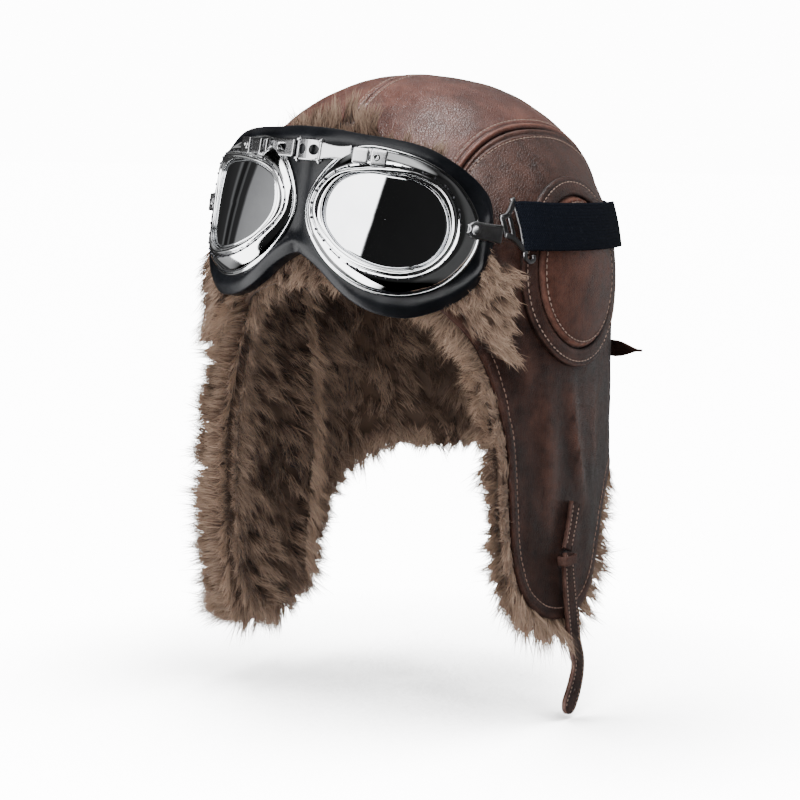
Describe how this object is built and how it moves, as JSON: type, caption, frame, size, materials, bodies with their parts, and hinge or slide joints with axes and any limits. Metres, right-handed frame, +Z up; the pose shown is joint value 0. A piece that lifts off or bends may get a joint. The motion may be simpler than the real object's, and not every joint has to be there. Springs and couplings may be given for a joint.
{
  "type": "leather flying helmet with goggles",
  "caption": "Fur-lined leather flying helmet with long ear flaps, padded ear patches, chin and nape straps, worn with mirrored goggles on an elastic strap.",
  "frame": {"origin": "inner top of the crown, where the head touches the fur lining", "axes": "+Z up, -Y the way the face looks, +X the wearer's left"},
  "size_m": [0.2079, 0.239, 0.3329],
  "materials": {
    "crown_leather": "mottled red-brown leather with a soft sheen",
    "flap_leather": "darker brown worn leather",
    "fur": "brown fur with pale tips",
    "black_pad": "soft black, satin",
    "chrome": "polished",
    "dark_metal": "worn, half bright",
    "mirror_lens": "mirrored glass",
    "elastic": "ribbed black elastic"
  },
  "bodies": {
    "root": {"crown_left": "crown_leather", "crown_right": "crown_leather", "side_panel_left": "flap_leather", "side_panel_right": "flap_leather", "ear_ring_left": "flap_leather", "ear_ring_right": "flap_leather", "ear_pad_left": "crown_leather", "ear_pad_right": "crown_leather", "lens_frame_left": "chrome", "lens_frame_right": "chrome", "lens_left": "mirror_lens", "lens_right": "mirror_lens", "bridge_plate_left": "chrome", "bridge_plate_right": "chrome", "bridge_lug_left": "chrome", "bridge_lug_right": "chrome", "link_plate_left": "dark_metal", "link_plate_right": "dark_metal", "hook_buckle_left": "dark_metal", "hook_buckle_right": "dark_metal", "bridge_link": "dark_metal", "face_pad": "black_pad", "goggle_strap": "elastic", "fur_lining": "fur", "fur_visor": "fur", "chin_tab": "flap_leather", "chin_keeper": "flap_leather", "chin_strap_left": "flap_leather", "chin_strap_right": "flap_leather", "chin_buckle": "dark_metal", "nape_strap": "flap_leather", "nape_buckle": "dark_metal"}
  },
  "joints": []
}
